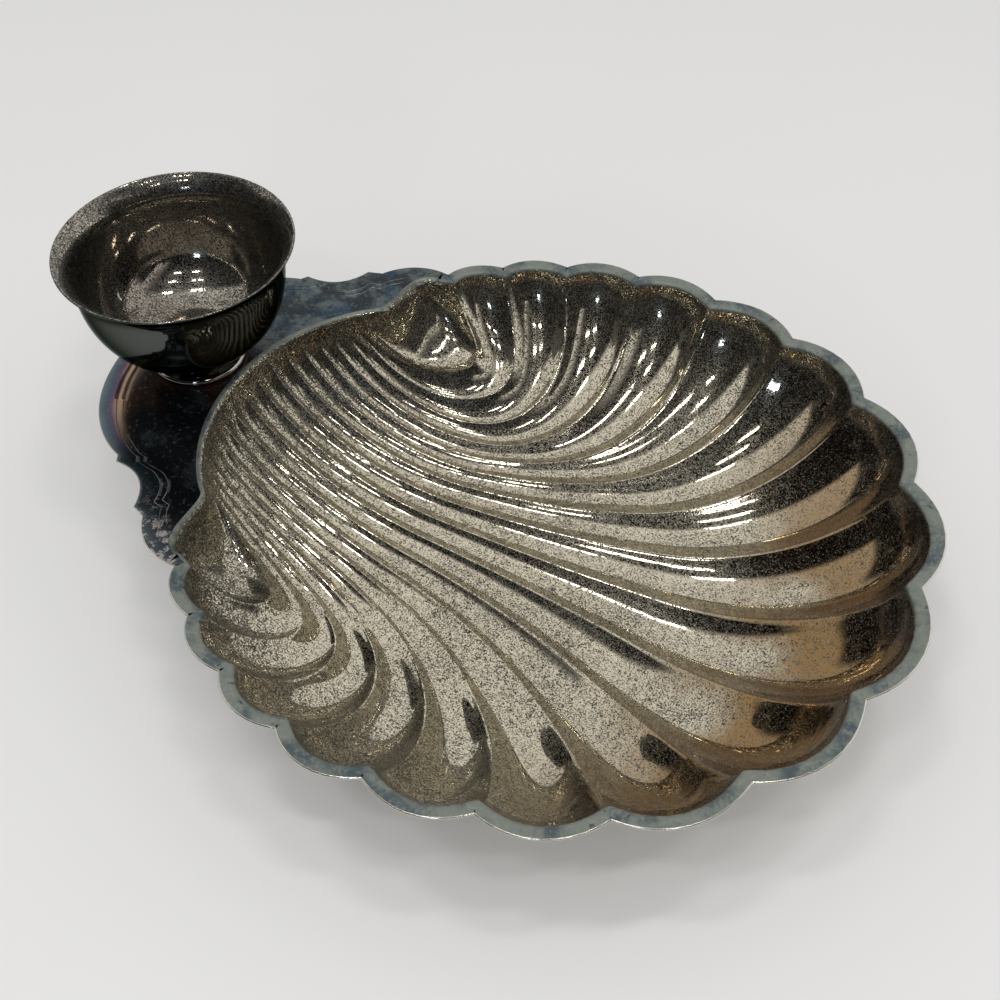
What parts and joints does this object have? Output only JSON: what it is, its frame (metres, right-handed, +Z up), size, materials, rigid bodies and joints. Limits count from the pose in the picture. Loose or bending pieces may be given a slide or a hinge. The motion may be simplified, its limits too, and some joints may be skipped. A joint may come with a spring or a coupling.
{
  "type": "shell-shaped chip and dip bowl",
  "caption": "Fluted shell-shaped metal serving dish with a scalloped flange and a flat ledge at its hinge end that carries a footed dip cup with a flared lip",
  "frame": {"origin": "on the table, under the middle of the object's length and width", "axes": "+X runs along the mirror plane from the ledge with the cup to the shell's tip, +Y to the left seen from the ledge, +Z up"},
  "size_m": [0.4108, 0.3214, 0.1345],
  "materials": {
    "shell_plate": "tarnished silver plate on brass",
    "cup_plate": "dark tarnished silver plate on brass",
    "bare_brass": "dull",
    "washer_steel": "satin",
    "foot_plate": "tarnished silver plate on brass"
  },
  "bodies": {
    "dish": {"shell_dish": "shell_plate", "front_foot_left": "foot_plate", "front_foot_right": "foot_plate", "rear_foot": "foot_plate"},
    "cup": {"dip_bowl": "cup_plate", "dip_foot": "cup_plate", "foot_stud": "bare_brass"},
    "washer": {"ledge_washer": "washer_steel"},
    "nut": {"thumb_nut": "bare_brass"}
  },
  "joints": [
    {"name": "cup_lift", "type": "slide", "parent": "dish", "child": "cup", "axis": [0, 0, 1], "range_m": [0, 0.04]},
    {"name": "washer_drop", "type": "slide", "parent": "dish", "child": "washer", "axis": [0, 0, -1], "range_m": [0, 0.00636]},
    {"name": "nut_turn", "type": "hinge", "parent": "washer", "child": "nut", "pos_m": [-0.15144, 0, 0.0638], "axis": [0, 0, -1], "range_deg": [0, 1800]}
  ],
  "couplings": [
    {"joint": "washer_drop", "follows": "nut_turn", "m_per_rad": 0.00020213}
  ]
}
